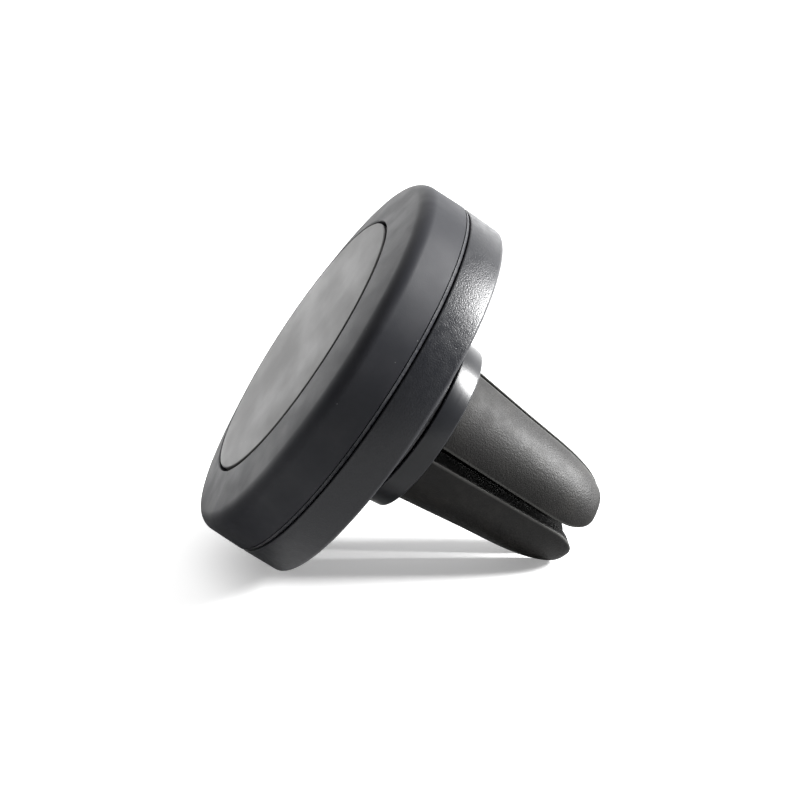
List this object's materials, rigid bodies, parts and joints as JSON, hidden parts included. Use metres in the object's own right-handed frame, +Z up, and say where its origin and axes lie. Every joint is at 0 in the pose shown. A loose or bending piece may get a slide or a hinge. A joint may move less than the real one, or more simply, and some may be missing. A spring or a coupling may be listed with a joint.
{
  "type": "car phone mount",
  "caption": "Round magnetic phone mount that clips onto a car air-vent blade with rubber fingers and turns on a swivel.",
  "frame": {"origin": "centre of the bounding box in X and Y, on the table that the mount lies on", "axes": "+Z up; the mount lies on its rear rim and its two lower fingertips, with its phone face towards -Y and up, and its clip towards +Y and down; it is mirrored across X = 0"},
  "size_m": [0.04, 0.04, 0.0376],
  "materials": {
    "pad_rubber": "smooth matte rubber pad",
    "adhesive_film": "translucent double-sided film",
    "cover_rubber": "soft-touch matte",
    "shell_plastic": "fine moulded grain with a low sheen",
    "collar_plastic": "smooth and glossy",
    "finger_rubber": "fine-grained satin rubber",
    "inner_plastic": "plain moulded",
    "magnet_nickel": "bright nickel plate",
    "plain_steel": "zinc-plated",
    "nylon": "natural nylon"
  },
  "bodies": {
    "head": {"front_pad": "pad_rubber", "pad_adhesive": "adhesive_film", "front_cover": "cover_rubber", "magnet_carrier": "inner_plastic", "magnet_1": "magnet_nickel", "magnet_2": "magnet_nickel", "magnet_3": "magnet_nickel", "magnet_4": "magnet_nickel", "steel_yoke": "plain_steel", "carrier_screw_1": "plain_steel", "carrier_screw_2": "plain_steel", "carrier_screw_3": "plain_steel", "carrier_screw_4": "plain_steel", "rear_shell": "shell_plastic"},
    "clip": {"pivot_screw": "plain_steel", "retaining_washer": "plain_steel", "wave_washer": "plain_steel", "thrust_washer": "nylon", "collar_ring": "collar_plastic", "clip_hub": "inner_plastic"},
    "finger_upper_right": {"finger_upper_right": "finger_rubber"},
    "finger_lower_right": {"finger_lower_right": "finger_rubber"},
    "finger_lower_left": {"finger_lower_left": "finger_rubber"},
    "finger_upper_left": {"finger_upper_left": "finger_rubber"}
  },
  "joints": [
    {"name": "clip_swivel", "type": "hinge", "parent": "head", "child": "clip", "pos_m": [0, 0.00059, 0.01489], "axis": [0, 0.8335, -0.5526], "continuous": true},
    {"name": "flex_upper_right", "type": "hinge", "parent": "clip", "child": "finger_upper_right", "pos_m": [0.00495, 0.00524, 0.01774], "axis": [0.7071, -0.3907, -0.5893], "range_deg": [-1.5, 8], "stiffness_Nm_per_rad": 0.38},
    {"name": "flex_lower_right", "type": "hinge", "parent": "clip", "child": "finger_lower_right", "pos_m": [0.00495, -0.00023, 0.00949], "axis": [-0.7071, -0.3907, -0.5893], "range_deg": [-1.5, 8], "stiffness_Nm_per_rad": 0.38},
    {"name": "flex_lower_left", "type": "hinge", "parent": "clip", "child": "finger_lower_left", "pos_m": [-0.00495, -0.00023, 0.00949], "axis": [-0.7071, 0.3907, 0.5893], "range_deg": [-1.5, 8], "stiffness_Nm_per_rad": 0.38},
    {"name": "flex_upper_left", "type": "hinge", "parent": "clip", "child": "finger_upper_left", "pos_m": [-0.00495, 0.00524, 0.01774], "axis": [0.7071, 0.3907, 0.5893], "range_deg": [-1.5, 8], "stiffness_Nm_per_rad": 0.38}
  ]
}
